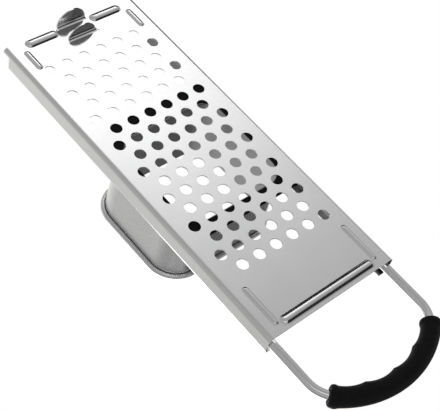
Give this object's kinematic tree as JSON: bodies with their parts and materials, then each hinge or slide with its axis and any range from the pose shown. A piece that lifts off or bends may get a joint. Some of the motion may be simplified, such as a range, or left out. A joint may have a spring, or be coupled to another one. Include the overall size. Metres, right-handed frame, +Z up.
{
  "type": "spaetzle maker",
  "caption": "Sliding spaetzle maker: a perforated steel sheet with folded rails and a pot hook, an open hopper that slides along it, and a bow handle with a soft finger grip.",
  "frame": {"origin": "middle of the part's bounding box in length and width, at the height of the ear's tip, its lowest point", "axes": "+X along the rails towards the handle, +Y to the left seen from above when looking along +X, +Z up as used, the hopper on top"},
  "size_m": [0.3324, 0.107, 0.069],
  "materials": {
    "sheet_steel": "bright rolled stainless sheet",
    "hopper_steel": "satin drawn stainless sheet",
    "wire_steel": "polished stainless wire",
    "grip_rubber": "matt black soft rubber"
  },
  "bodies": {
    "sheet_with_handle": {"perforated_sheet": "sheet_steel", "handle_wire": "wire_steel", "grip_sleeve": "grip_rubber"},
    "hopper": {"hopper": "hopper_steel"}
  },
  "joints": [
    {"name": "hopper_slide", "type": "slide", "parent": "sheet_with_handle", "child": "hopper", "axis": [1, 0, 0], "range_m": [-0.093, 0.045]}
  ]
}
